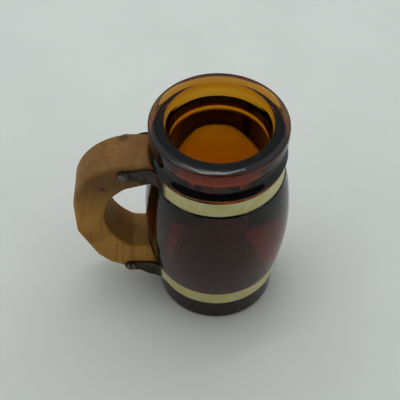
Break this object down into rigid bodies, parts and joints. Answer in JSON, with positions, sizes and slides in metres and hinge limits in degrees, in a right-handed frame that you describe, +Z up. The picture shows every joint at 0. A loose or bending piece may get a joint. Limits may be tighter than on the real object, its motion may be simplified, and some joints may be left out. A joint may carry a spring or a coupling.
{
  "type": "mug",
  "caption": "Small barrel-shaped drinking mug of thick amber glass, with a whittled wooden handle held by two metal bands and round-headed nails.",
  "frame": {"origin": "centre of the glass's foot, on the surface that the mug stands on", "axes": "+Z up along the glass's axis, the handle towards -X"},
  "size_m": [0.0702, 0.0474, 0.0774],
  "materials": {
    "amber_glass": "clear amber pressed glass, polished",
    "handle_wood": "whittled softwood, thin satin varnish",
    "band_metal": "pale gold lacquer, bare dark metal at the ends",
    "nail_steel": "dull, worn bright on the dome"
  },
  "bodies": {
    "root": {"glass_mug": "amber_glass", "wooden_handle": "handle_wood", "upper_band": "band_metal", "lower_band": "band_metal", "upper_nail_front": "nail_steel", "upper_nail_back": "nail_steel", "lower_nail_front": "nail_steel", "lower_nail_back": "nail_steel"}
  },
  "joints": []
}
